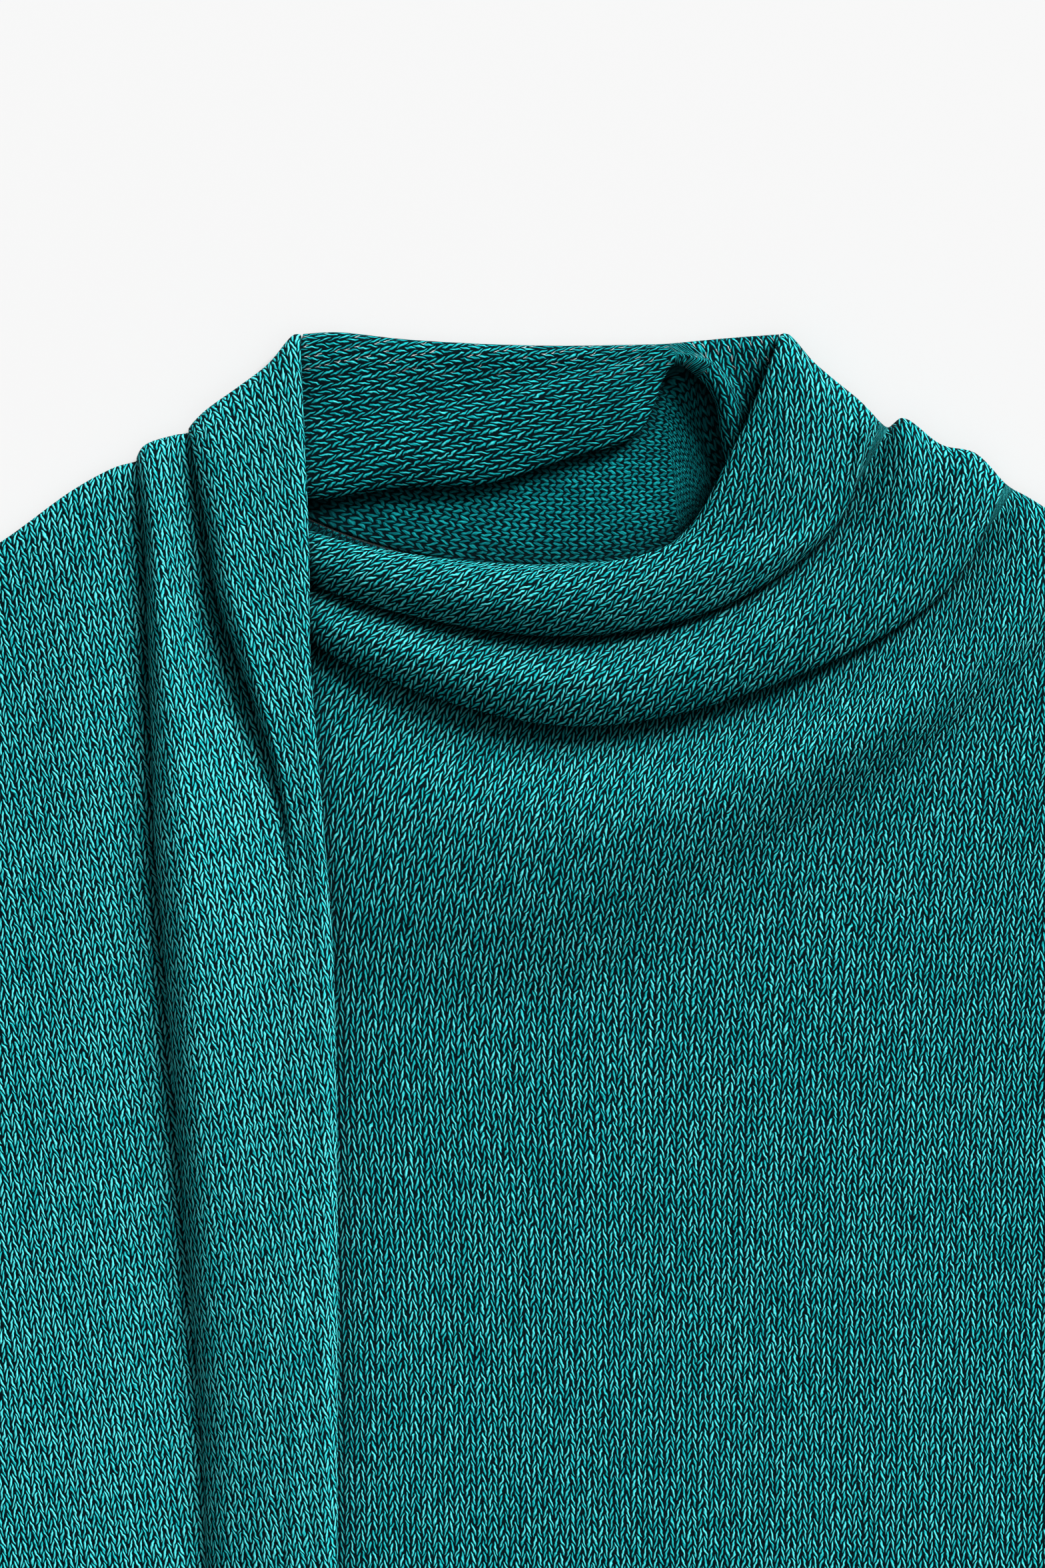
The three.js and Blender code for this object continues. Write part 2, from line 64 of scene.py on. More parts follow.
# The right front's folds, from the neck down. Six stations run from the edge tucked under the
# left panel to the outline; z is the height at all six, or at the tucked, low and outline
# station. tuck: how far the cloth runs on behind the fold's edge, at the heights tuck_z.
# grain: turn of the stitches at the six stations, in degrees clockwise from upright.
DRAPE = [
    dict(line="neck edge", xy=[(-95, 249), (-62, 239), (4, 232.5), (47, 240), (68, 273), (88.4, 313.6)],
         z=(5.8, 9.4, 10.5, 11.4, 14.6, 14), grain=(66, 64, 54, 40, 6, 0)),
    dict(line="collar panel", xy=[(-95, 245), (-62, 237), (4, 230.6), (52, 241), (86, 268), (101, 303)],
         z=(7.8, 12.6, 15.5, 16, 17.4, 15.5), grain=(66, 64, 54, 38, 4, 0)),
    dict(line="dip beside the neck roll",
         xy=[(-95, 242), (-62, 234), (4, 228), (58, 238.5), (104, 254), (117.6, 289.6)],
         z=(7.8, 18.4, 10.5), grain=(66, 64, 54, 40, 6, 0)),
    dict(line="neck roll", xy=[(-95, 238), (-63, 226), (6, 216), (61, 228), (106, 247), (121.5, 285.5)],
         z=(7.2, 20, 12), grain=(66, 64, 54, 46, 20, 2)),
    dict(line="under the neck roll",
         xy=[(-95, 231), (-63, 218), (8, 206), (64, 216), (104, 243), (125, 282)],
         z=(5.6, 12.5, 9), tuck=4, tuck_z=(4.6, 5.2, 8.4), grain=(60, 58, 50, 44, 20, 2)),
    dict(line="middle roll", xy=[(-95, 220), (-63, 205), (10, 190), (74, 201), (126, 236), (133, 283.2)],
         z=(6.6, 17, 13.5), grain=(48, 46, 42, 33, 15, 2)),
    dict(line="dent in the middle roll",
         xy=[(-95, 218.4), (-63, 202.5), (10.5, 186.3), (76.2, 198), (131.5, 233), (147.5, 273.4)],
         z=(6.5, 16.8, 11.8), grain=(46, 44, 39, 30, 13, 2)),
    dict(line="middle roll's lower half",
         xy=[(-95, 216), (-63, 199), (11, 181), (79, 194), (137, 229), (159.5, 270.5)],
         z=(6.3, 15.8, 12.6), grain=(44, 42, 37, 28, 12, 2)),
    dict(line="under the middle roll",
         xy=[(-95, 212), (-63, 193.5), (12, 173.4), (84, 188), (147, 222), (171, 259.4)],
         z=(5.4, 10.5, 8.5), tuck=3, tuck_z=(4.4, 5, 6.4), grain=(40, 38, 32, 24, 10, 2)),
    dict(line="above the low roll",
         xy=[(-95, 196), (-63, 174), (13, 164), (88, 179), (149, 213), (179, 254.6)],
         z=(4.4, 5.4, 6, 7, 9, 8.6), grain=(32, 30, 26, 20, 8, 0)),
    dict(line="low roll", xy=[(-95, 148), (-63, 144), (14, 140), (90, 161), (151, 193), (195, 244)],
         z=(4.5, 9, 15.6, 19.4, 18.8, 10.5), grain=(22, 22, 20, 16, 6, 0)),
    dict(line="low roll's brow", xy=[(-95, 112), (-63, 108), (14, 115), (88, 148), (150, 182), (204, 237)],
         z=(4.3, 9, 14.8, 17.8, 16, 8.6), grain=(14, 14, 13, 10, 5, 0)),
    dict(line="low roll's foot", xy=[(-95, 90), (-63, 86), (15, 93), (84, 130), (148, 169), (212, 229)],
         z=(4.1, 6.8, 9.6, 10.6, 9, 5), grain=(9, 9, 9, 7, 3, 0)),
]
# The right front below the drape, down to the hem. Its four stations start beside the left
# panel's fold. curl: how much of the full curl its open edge has.
BELOW = [
    dict(line="armhole start", xy=[(-63, 68), (15, 74), (83, 107), (156, 154)],
         z=(4.1, 4.8, 5.4, 5.8, 5.2), curl=1, grain=7),
    dict(line="under the low roll", xy=[(-63, 53), (16, 58), (80, 89), (158, 137)],
         z=(4.1, 4.4, 4.5, 4.6, 4.4), grain=5),
    dict(line="armhole middle", xy=[(-63, 38), (16, 41), (82, 64), (156, 108)], z=4.1, grain=2),
    dict(line="armhole low", xy=[(-63, 16), (16, 18), (84, 30), (158, 54)], z=4, grain=0),
    dict(line="underarm", xy=[(-63, -20), (16, -20), (86, -10), (164, 8)], z=4, grain=0),
    dict(line="waist", xy=[(-63, -105), (16, -105), (88, -102), (166, -98)], z=3.9, grain=0),
    dict(line="hip", xy=[(-63, -205), (16, -205), (88, -205), (166, -205)], z=3.9, grain=0),
    dict(line="hem", xy=[(-63, HEM), (16, HEM), (88, HEM), (166, HEM)], z=RESTING, grain=0),
]

# The left front, a row for each level from the outline down to the hem. fold is the edge that
# lies on the right front, inner and outer are the pleat edges, side is the armhole and side.
# heights: fold, inner, outer, strip beside the outer pleat, side. dips: height of the valleys
# under the inner and outer pleat; laps: how far they lie behind the pleat edges. grain: turn
# of the stitches beside the fold, between the pleats and at the side.
LEVELS = [
    dict(fold=(-87, 313.6), inner=(-127, 278.3), outer=(-145.3, 266.7), side=(-212, 229), turn=3.6,
         heights=(11.4, 12, 10.5, 6, 5.2), dips=(8, 7.5), laps=(0, 0), grain=(-18, -10, -6)),
    dict(fold=(-84.8, 268), inner=(-121.5, 243), outer=(-144, 238), side=(-208.5, 203), turn=4,
         heights=(14.4, 14, 12.4, 6.8, 4.4), dips=(5, 4.4), laps=(3, 3), grain=(-22, -12, -7)),
    dict(fold=(-83.4, 232), inner=(-117, 216), outer=(-143.2, 212), side=(-207, 180), turn=3.8,
         heights=(15, 14.6, 13, 6.8, 4), dips=(4, 3.8), laps=(3.5, 4), grain=(-22, -14, -8)),
    dict(fold=(-83, 194), inner=(-108, 190), outer=(-142.4, 184), side=(-206, 150), turn=3.8,
         heights=(13.6, 14.2, 13.6, 6.4, 3.8), dips=(4, 3.6), laps=(3.5, 4), grain=(-20, -14, -8)),
    dict(fold=(-80.3, 160), inner=(-99, 163), outer=(-141.2, 155), side=(-206, 122), turn=4.4,
         heights=(13.2, 12, 15, 5.8, 3.8), dips=(6, 5), laps=(2, 4), grain=(-18, -14, -8)),
    dict(fold=(-77.9, 130), inner=(-92, 136), outer=(-140.2, 127), side=(-208, 90), turn=5,
         heights=(14.2, 11.8, 16, 5.2, 3.8), dips=(9.2, 6), laps=(0.5, 3.5), grain=(-16, -14, -8)),
    dict(fold=(-75, 94), inner=(-89.5, 98), outer=(-137.4, 94), side=(-214, 55), turn=6,
         heights=(15.6, 13.8, 16, 5, 3.8), dips=(12.6, 5.2), laps=(0, 2), grain=(-12, -12, -8)),
    dict(fold=(-73.6, 46), inner=(-91.5, 46), outer=(-133.8, 44), side=(-226, 24), turn=7.6,
         heights=(17, 16.4, 14.8, 4.8, 3.6), dips=(15.6, 4.2), laps=(0, 1), grain=(-10, -10, -8)),
    dict(fold=(-73, -20), inner=(-92, -20), outer=(-128.6, -20), side=(-227, -36), turn=8.6,
         heights=(18, 17.8, 12.8, 4.6, 3.6), dips=(17.2, 3.8), laps=(0, 0.4), grain=(-10, -10, -7)),
    dict(fold=(-73, -100), inner=(-91, -100), outer=(-122.4, -100), side=(-228.5, -110), turn=8.6,
         heights=(18.4, 17.6, 10.8, 4.4, 3.4), dips=(16.8, 3.6), laps=(0, 0), grain=(-10, -10, -7)),
    dict(fold=(-73, -205), inner=(-91, -205), outer=(-120, -205), side=(-230.5, -208), turn=7,
         heights=(14, 13.2, 8.2, 4.2, 3.3), dips=(12.6, 3.6), laps=(0, 0), grain=(-8, -8, -6)),
    dict(fold=(-73, HEM), inner=(-91, HEM), outer=(-116, HEM), side=(-HEM_HALF, HEM), turn=4,
         heights=(8, 8, 6, 3.9, 3.3), dips=(7.8, 4.4), laps=(0, 0), grain=(-6, -6, -4)),
]

# The doubled band behind the neck, a row for each section from left to right. seam and fold:
# its lower and upper edge; level: a point of the outside near the fold; crest and lip: the
# roll on the inside. grain: turn of the stitches on the facing and on the roll.
SECTIONS = [
    dict(seam=(-116.4, 273.1), level=(-86.5, 303), fold=(-86.2, 314.4), crest=(-97, 268),
         lip=(-97, 255), top=7.4, grain=(82, 66)),
    dict(seam=(-90, 250), level=(-76, 303), fold=(-74, 315), crest=(-82, 267.5),
         lip=(-82, 253.4), top=8, grain=(84, 66)),
    dict(seam=(-55, 236), level=(-50, 301), fold=(-50, 312.5), crest=(-51, 273.5),
         lip=(-52, 257.5), top=8.8, grain=(86, 64)),
    dict(seam=(-18, 229), level=(-20, 300), fold=(-22, 310.8), crest=(-20, 281.5),
         lip=(-18, 259.4), top=9, grain=(90, 60)),
    dict(seam=(12, 228), level=(6, 300), fold=(4, 310.1), crest=(2, 291),
         lip=(10, 268.4), top=8.8, grain=(88, 58)),
    dict(seam=(36, 231), level=(28, 300.5), fold=(28, 310.3), crest=(24, 298),
         lip=(36, 277.5), top=8, grain=(80, 54)),
    dict(seam=(52, 236.5), level=(45, 301), fold=(47, 310.8), crest=(50, 306),
         lip=(49.5, 302.3), top=7, grain=(60, 50)),
    dict(seam=(66, 244.5), level=(57, 302), fold=(58, 311.8), crest=(62.5, 302),
         lip=(58.5, 297.5), top=11.8, grain=(-16, -16)),
    dict(seam=(80, 254.5), level=(68, 302.5), fold=(69, 312.8), crest=(69, 292.5),
         lip=(64.3, 289), top=12.2, grain=(-18, -20)),
    dict(seam=(95, 267), level=(78, 303), fold=(79, 313.6), crest=(73.5, 277),
         lip=(66.6, 275), top=9.8, grain=(-16, -22)),
    dict(seam=(109.4, 279.2), level=(88.5, 303), fold=(88.2, 314.2), crest=(78, 262),
         lip=(70, 260), top=6.4, grain=(-14, -24)),
]
BAND_INSIDE = 5.5  # height of the inner layer of the band
BAND_TUCK = 2.3  # height of its turned lower edge
BAND_STEPS = [1, 2, 2, 2, 2, 3, 2, 2, 2, 1]  # points of the neck seam between the sections


def mix(a, b, t):
    """The value at the share t of the way from a to b."""
    return a + (b - a) * t


def length(v):
    return np.sqrt((v * v).sum(-1, keepdims=True))


def unit(v):
    return v / np.maximum(length(v), 1e-9)


def point(xy, z):
    return np.array([xy[0], xy[1], z], float)


def through(points, steps, straight=0):
    """Smooth curves through points[i, curve], with steps[i] steps after each, all curves at once."""
    held = np.concatenate([[2 * points[0] - points[1]], points, [2 * points[-1] - points[-2]]])
    found = []
    for i, count in enumerate(steps):
        a, b, c, d = held[i:i + 4]
        t = (np.arange(count) / count).reshape(-1, *([1] * b.ndim))
        if i < straight:
            found.append(b + (c - b) * t)
            continue
        bc = np.sqrt(length(c - b))
        bc = np.where(bc < 1e-4, 1.0, bc)
        ab, cd = np.sqrt(length(b - a)), np.sqrt(length(d - c))
        ab, cd = np.where(ab < 1e-4, bc, ab), np.where(cd < 1e-4, bc, cd)
        leave = ((b - a) / ab - (c - a) / (ab + bc) + (c - b) / bc) * bc
        arrive = ((c - b) / bc - (d - b) / (bc + cd) + (d - c) / cd) * bc
        found.append(b + leave * t + (3 * (c - b) - 2 * leave - arrive) * t**2
                     + (2 * (b - c) + leave + arrive) * t**3)
    found.append(points[-1:])
    return np.concatenate(found)


def steps_for(spans, spacing):
    return [max(1, math.ceil(span / size)) for span, size in zip(spans, spacing)]


def loft(lines, spacing, straight_last=0, straight_first=0):
    """A fine grid through the lines: rows across the lines, columns along them, and for each row
    and column its place among the lines and stations. straight_first and straight_last: how many
    segments of the first and the last column are a straight seam."""
    lines = np.array(lines)
    longest = length(np.diff(lines, axis=1))[..., 0].max(axis=0)
    along = steps_for(longest, [spacing] * len(longest))
    rows = through(np.swapaxes(lines, 0, 1), along)  # station, line
    columns = np.swapaxes(rows, 0, 1)  # line, station
    between = np.quantile(length(np.diff(columns, axis=0))[..., 0], 0.9, axis=1)
    sizes = [spacing if y > SEEN_TO else 3 * spacing for y in columns[:-1, :, 1].max(axis=1)]
    across = steps_for(between, sizes)
    grid = through(columns, across)
    if straight_last:
        grid[:, -1] = through(columns[:, -1:], across, straight_last)[:, 0]
    if straight_first:
        grid[:, 0] = through(columns[:, :1], across, straight_first)[:, 0]
    grid[..., 2] = np.maximum(grid[..., 2], 0)
    place = [np.concatenate([i + np.arange(n) / n for i, n in enumerate(steps)] + [[len(steps)]])
             for steps in (across, along)]
    return grid, place


def spread(values, place):
    """Values given at each line and station, in between on the fine grid."""
    values = np.array(values, float)
    rows = np.array([np.interp(place[0], range(len(values)), v) for v in values.T]).T
    return np.array([np.interp(place[1], range(values.shape[1]), row) for row in rows])


def inwards(grid):
    """The steps from a grid's outer points to the inner face, square to the strips on both sides."""
    along = np.empty_like(grid)
    along[:, 1:-1] = grid[:, 2:] - grid[:, :-2]
    along[:, 0], along[:, -1] = grid[:, 1] - grid[:, 0], grid[:, -1] - grid[:, -2]
    across = grid[1:] - grid[:-1]
    above = unit(np.cross(across, along[:-1]))
    below = unit(np.cross(across, along[1:]))
    normal = np.empty_like(grid)
    normal[0], normal[-1] = above[0], below[-1]
    normal[1:-1] = unit(below[:-1] + above[1:])
    first = np.concatenate([above[:1], below])
    slant = np.maximum((normal * first).sum(-1, keepdims=True), 0.7)
    return -normal * CLOTH / slant


def stitch_lines(grid, grain, loose):
    """Where each point lies in the knit, in millimetres across the wales and along them: the
    flat pattern whose stitches follow the grain best. loose: how firmly each step from point to
    point holds, first from line to line, then along the lines."""
    down, right = np.gradient(grid, axis=0), unit(np.gradient(grid, axis=1))
    down = unit(down - (down * right).sum(-1, keepdims=True) * right)
    plan = np.arctan2(-right[..., 1], right[..., 0])
    turn = (np.radians(grain) - plan)[..., None]
    courses = np.cos(turn) * right + np.sin(turn) * down
    wales = np.sin(turn) * right - np.cos(turn) * down
    steps = [grid[1:] - grid[:-1], grid[:, 1:] - grid[:, :-1]]
    sizes = [np.maximum(length(s)[..., 0], 1e-4) for s in steps]
    wide = np.gradient(np.cumsum(np.pad(sizes[1], ((0, 0), (1, 0))), axis=1), axis=1)
    tall = np.gradient(np.cumsum(np.pad(sizes[0], ((1, 0), (0, 0))), axis=0), axis=0)
    weights = [(wide[1:] + wide[:-1]) / 2 / sizes[0], (tall[:, 1:] + tall[:, :-1]) / 2 / sizes[1]]
    weights[0] *= loose[0]
    weights[1] *= loose[1].T

    def pull(a):  # the sum over a point's four neighbours
        out = np.zeros_like(a)
        by_row, by_column = weights[0] * (a[1:] - a[:-1]), weights[1] * (a[:, 1:] - a[:, :-1])
        out[1:] += by_row
        out[:-1] -= by_row
        out[:, 1:] += by_column
        out[:, :-1] -= by_column
        return out

    diagonal = np.zeros(grid.shape[:2])
    diagonal[1:] += weights[0]
    diagonal[:-1] += weights[0]
    diagonal[:, 1:] += weights[1]
    diagonal[:, :-1] += weights[1]
    found = []
    for field in (courses, wales):
        rise = [((field[1:] + field[:-1]) / 2 * steps[0]).sum(-1),
                ((field[:, 1:] + field[:, :-1]) / 2 * steps[1]).sum(-1)]
        aim = np.zeros(grid.shape[:2])
        aim[1:] += weights[0] * rise[0]
        aim[:-1] -= weights[0] * rise[0]
        aim[:, 1:] += weights[1] * rise[1]
        aim[:, :-1] -= weights[1] * rise[1]
        middle = grid.shape[1] // 2
        x = np.zeros(grid.shape[:2])
        x[1:, middle] = np.cumsum(rise[0][:, middle])
        x[:, middle + 1:] = x[:, middle:middle + 1] + np.cumsum(rise[1][:, middle:], axis=1)
        back = np.cumsum(rise[1][:, :middle][:, ::-1], axis=1)[:, ::-1]
        x[:, :middle] = x[:, middle:middle + 1] - back
        left = aim - pull(x)
        aimed = left / diagonal
        step, size = aimed.copy(), (left * aimed).sum()
        for _ in range(700):
            spent = pull(step)
            share = size / max((step * spent).sum(), 1e-12)
            x += share * step
            left -= share * spent
            aimed = left / diagonal
            size, before = (left * aimed).sum(), size
            if size < 1e-6:
                break
            step = aimed + step * size / before
        found.append(x)
    return np.stack(found, axis=-1)


def looseness(place, axis, slack):
    """1 on each step of a grid along an axis, and SLIP on the steps between two lines that slack
    names, as far along those lines as its third value says."""
    here, along = place[axis], place[1 - axis]
    middle = (here[1:] + here[:-1]) / 2
    ease = np.ones((len(middle), len(along)))
    for start, end, reach in slack:
        ease[np.ix_((middle > start) & (middle < end), along < reach)] = SLIP
    return ease


def cloth(name, grid, knit_at, materials):
    """A wall of knit behind a grid of outer points, with the right side on the outer face."""
    rows, columns = grid.shape[:2]
    count = rows * columns
    index = np.arange(count).reshape(rows, columns)
    a, b, c, d = index[:-1, :-1], index[1:, :-1], index[1:, 1:], index[:-1, 1:]
    face = np.stack([a, b, c, d], -1).reshape(-1, 4)
    inner = np.stack([a, d, c, b], -1).reshape(-1, 4) + count
    rim = np.concatenate([index[0, :-1], index[:-1, -1], index[-1, :0:-1], index[:0:-1, 0]])
    ahead = np.roll(rim, -1)
    edge = np.stack([rim, ahead, ahead + count, rim + count], -1)
    faces = np.concatenate([face, inner, edge])
    points = np.concatenate([grid.reshape(-1, 3), (grid + inwards(grid)).reshape(-1, 3)]) * MM
    points[:, 2] = np.maximum(points[:, 2], 0)
    mesh = bpy.data.meshes.new(name)
    mesh.from_pydata(points.tolist(), [], faces.tolist())
    for material in materials:
        mesh.materials.append(material)
    side = np.zeros(len(faces), np.int32)
    side[len(face):len(face) + len(inner)] = 1
    mesh.polygons.foreach_set("material_index", side)
    mesh.polygons.foreach_set("use_smooth", np.ones(len(faces), bool))
    flat = knit_at.reshape(-1, 2)
    layer = mesh.uv_layers.new(name="knit")
    corners = np.empty(len(mesh.loops), np.int32)
    mesh.loops.foreach_get("vertex_index", corners)
    layer.data.foreach_set("uv", flat[corners % count].astype(np.float32).ravel())
    mesh.update()
    piece = bpy.data.objects.new(name, mesh)
    bpy.context.scene.collection.objects.link(piece)
    return piece


def beside_edge(edge, next_line, back, out):
    """A line beside a folded edge, back from it towards the next line and out in front of it."""
    found = []
    for i, p in enumerate(edge):
        inward = next_line[i] - p
        inward[2] = 0
        inward = unit(inward)
        along = edge[min(i + 1, len(edge) - 1)] - edge[max(i - 1, 0)]
        up = unit(np.cross(inward, along))
        found.append(p + inward * back[i] + up * out[i])
    return np.array(found)


def over_shoulder(before, outline, z, seam, low=0.0):
    """The end of a line that goes over a shoulder and under to its seam, at the height low."""
    foot = point(seam, low)
    edge = point(outline, (z + low) / 2)
    inside = before - edge
    inside[2] = 0
    start = edge + unit(inside) * min(ROUND, z / 2)
    start[2] = z
    under = (edge + foot) / 2
    under[2] = low
    return [start, edge, under, foot]


def open_edge(side, z, curl):
    """The same four points where the line ends in an open edge, curled at the shoulder tip."""
    return [point((side[0] - inset, side[1]), z - sink - curl * bend)
            for inset, sink, bend in zip((9, 4, 1.5, 0), (0, 0.1, 0.3, 0.5), (0, 0.4, 1.3, 2.4))]


def heights(z):
    """The heights at all six stations of a fold, from those that its row gives."""
    if len(z) == 6:
        return list(z)
    tucked, low, outline = z
    return [tucked, mix(tucked, low, 0.62), low,
            mix(low, outline, 0.2), mix(low, outline, 0.72), outline]


def front_right():
    """The right front, with its lines from the neck edge down to the hem."""
    lines, grain = [], []
    corner, foot, tip = SEAM_RIGHT["corner"], SEAM_RIGHT["foot"], SEAM_RIGHT["tip"]
    neck_x, foot_x, tip_x = (DRAPE[i]["xy"][5][0] for i in (0, 2, -1))
    for fold in DRAPE:
        stations, outline = fold["xy"][:5], fold["xy"][5]
        on_neck = outline[0] <= foot_x
        t = ((outline[0] - neck_x) / (foot_x - neck_x) if on_neck
             else (outline[0] - foot_x) / (tip_x - foot_x))
        start, end = (corner, foot) if on_neck else (foot, tip)
        seam = (mix(start[0], end[0], t), mix(start[1], end[1], t))

        def build(z, tuck):
            """The fold's line at the heights z, moved up behind its edge by the tuck."""
            up, top = heights(z), heights(fold["z"])
            body = []
            for i, (px, py) in enumerate(stations):
                a, b = stations[max(i - 1, 0)], fold["xy"][i + 1]
                run = unit(np.array([b[0] - a[0], b[1] - a[1]], float))
                shift = min(tuck, 1.1 * (top[i] - up[i]) - 3)
                body.append(point((px - run[1] * shift, py + run[0] * shift), up[i]))
            low = TURNED / 2 if fold["line"] == "neck edge" else 0
            return np.array(body + over_shoulder(body[4], outline, up[5], seam, low))

        turn = list(fold["grain"]) + [fold["grain"][5]] * 3
        lines.append(build(fold["z"], 0))
        grain.append(turn)
        if "tuck" in fold:
            under = build(fold["tuck_z"], fold["tuck"])
            under[5:7] += (3, -2, 0)
            under[7:9] += unit(np.array([end[0] - start[0], end[1] - start[1], 0.0])) * 3
            lines.append(under)
            grain.append(turn)
    for i, level in enumerate(BELOW):
        ripple = np.array([0, 0.8, 0, 1.3, 0]) * (1 - i / 7)
        body = [(-95, level["xy"][0][1] + 3), *level["xy"]]
        high = np.broadcast_to(level["z"], 5) + ripple
        body = [point((px, HEM if i == 7 else py), z) for (px, py), z in zip(body, high)]
        lines.append(np.array(body + open_edge(SIDE[i + 1], high[4], level.get("curl", 0))))
        grain.append([level["grain"] * f for f in (1, 1, 0.9, 0.6, 0.3, 0, 0, 0, 0)])
    neck, panel = lines[0], lines[1]
    half = TURNED / 2
    behind = [-half, -2.4, -3, -2.4, -half] + [-half] * 4
    front = beside_edge(neck, panel, [2, 1.3, 1, 1.3, 2, 2, 2, 2, 2],
                        [half, 2, 2.4, 2, half] + [half] * 4)
    lines.insert(1, front)
    lines.insert(0, beside_edge(neck, panel, [2, 2, 2.5, 2, 2, 2, 2, 2, 2], behind))
    lines.insert(0, beside_edge(neck, panel, [6, 7, 8, 7, 5, 4, 4, 4, 4], behind))
    grain = [grain[0]] * 3 + grain
    seam_lines = len(DRAPE) + 5  # the folds, their two tucks and the three lines at the neck edge
    grid, place = loft(lines, 2.65, straight_last=seam_lines)
    # the cloth hidden in the valleys and under the shoulder takes up the turn of the knit
    valleys = [(7, 8, WHOLE), (12, 13, WHOLE)]
    loose = looseness(place, 0, valleys), looseness(place, 1, [(6, 8, seam_lines)])
    return grid, stitch_lines(grid, spread(grain, place), loose)


def front_left():
    """The left front, with its lines from the fold to the armhole and side."""
    corner, foot, tip = SEAM_LEFT["corner"], SEAM_LEFT["foot"], SEAM_LEFT["tip"]

    def down(start, end, t, dx, z, seam_at, swell=0.0):
        """The line at the share t of the way from one edge to the other, dx further right.
        swell: how far it goes out over the straight outline between those edges."""
        body = [point((mix(l[start][0], l[end][0], t) + dx(l), mix(l[start][1], l[end][1], t)), z(l))
                for l in LEVELS]
        a, b, s = (corner, foot, seam_at) if seam_at < 1 else (foot, tip, seam_at - 1)
        outline = LEVELS[0]
        edge = (mix(outline[start][0], outline[end][0], t) + dx(outline) - swell / 2,
                mix(outline[start][1], outline[end][1], t) + swell * 0.87)
        seam = (mix(a[0], b[0], s), mix(a[1], b[1], s))
        low = TURNED / 2 if seam_at == 0 else 0
        return np.array(over_shoulder(body[1], edge, z(outline), seam, low)[::-1] + body[1:])

    def none(level):
        return 0

    def high(which):
        return lambda level: level["heights"][which]

    def between(dip, which, t):
        return lambda level: mix(level["dips"][dip], level["heights"][which], t)

    FOLD, INNER, OUTER, STRIP, AT_SIDE = range(5)
    fold = down("fold", "fold", 0, none, lambda l: l["heights"][FOLD] - l["turn"] / 2, 0)
    plateau = down("fold", "inner", 0.3, none, high(FOLD), 0.3)
    half = np.array([LEVELS[0]["turn"] / 2] * 3 + [l["turn"] / 2 for l in LEVELS])
    under = np.array([4, 4, 4, 5, 14] + [16] * (len(fold) - 5), float)
    lines = [
        beside_edge(fold, plateau, under, -half),
        beside_edge(fold, plateau, half, -half),
        fold,
        beside_edge(fold, plateau, half, half),
        plateau,
        down("fold", "inner", 0.56, none,
             lambda l: (l["heights"][FOLD] + l["heights"][INNER]) / 2 - 0.3, 0.56, 1),
        down("fold", "inner", 0.86, none, high(INNER), 0.86, 2.4),
        down("fold", "inner", 1, none, between(0, INNER, 0.5), 1, 1.6),
        down("inner", "outer", 0, lambda l: l["laps"][0] - 1, between(0, INNER, 0), 1.03),
        down("inner", "outer", 0.3, none, between(0, OUTER, 0.25), 1.07, 2.6),
        down("inner", "outer", 0.8, none, high(OUTER), 1.14, 5),
        down("inner", "outer", 1, none, between(1, OUTER, 0.3), 1.19, 3),
        down("outer", "side", 0, lambda l: l["laps"][1] - 1, between(1, OUTER, 0), 1.23, 1.5),
        down("outer", "side", 0.12, none, between(1, STRIP, 0.45), 1.3, 3.8),
        down("outer", "side", 0.34, none, lambda l: l["heights"][STRIP] + 0.3, 1.5, 4.2),
        down("outer", "side", 0.72, none,
             lambda l: mix(l["heights"][STRIP], l["heights"][AT_SIDE], 0.6), 1.75, 1),
        down("outer", "side", 0.95, none, lambda l: l["heights"][AT_SIDE] + 0.2, 1.95),
        down("outer", "side", 1, none, high(AT_SIDE), 2),
    ]
    turns = np.array([LEVELS[0]["grain"]] * 3 + [l["grain"] for l in LEVELS], float)
    grain = [turns[:, zone] for zone in [0] * 7 + [1] * 4 + [2] * 7]
    grid, place = loft(lines, 2.0, straight_first=len(lines) - 1)
    valleys = [(7, 8, 7.6), (11, 12, 12)]  # as far down as the pleats lie over them
    loose = looseness(place, 0, valleys), looseness(place, 1, [(0, 2, WHOLE)])
    return grid, stitch_lines(grid, spread(grain, place), loose)


def collar():
    """The band behind the neck: up its outside, over the fold and down its inside."""
    def line(start, end, t, z):
        return np.array([point((mix(s[start][0], s[end][0], t), mix(s[start][1], s[end][1], t)), z(s))
                         for s in SECTIONS])

    def beside(start, end, distance, z):
        found = []
        for s in SECTIONS:
            a, b = point(s[start], z(s)), point(s[end], z(s))
            found.append(a + unit(b - a) * distance)
        return np.array(found)

    lines = [
        line("seam", "level", 0, lambda s: 0),
        line("seam", "level", 0.5, lambda s: 0),
        line("seam", "level", 1, lambda s: 0),
        beside("fold", "level", BAND_INSIDE / 2, lambda s: 0),
        line("level", "fold", 1, lambda s: BAND_INSIDE / 2),
        beside("fold", "crest", BAND_INSIDE / 2, lambda s: BAND_INSIDE),
        line("fold", "crest", 0.6, lambda s: mix(BAND_INSIDE, s["top"], 0.12)),
        line("crest", "lip", 0, lambda s: s["top"]),
        line("crest", "lip", 0.72, lambda s: s["top"] * 0.94),
        line("crest", "lip", 1, lambda s: mix(BAND_TUCK, s["top"], 0.5)),
        beside("lip", "crest", 2.4, lambda s: BAND_TUCK),
    ]
    facing, roll = ([s["grain"][i] for s in SECTIONS] for i in (0, 1))
    grain = [facing] * 7 + [roll] * 4
    grid, place = loft(lines, 1.5, straight_first=3, straight_last=3)
    loose = looseness(place, 0, []), looseness(place, 1, [(6, 7, WHOLE)])
    return lines, grid, stitch_lines(grid, spread(grain, place), loose)


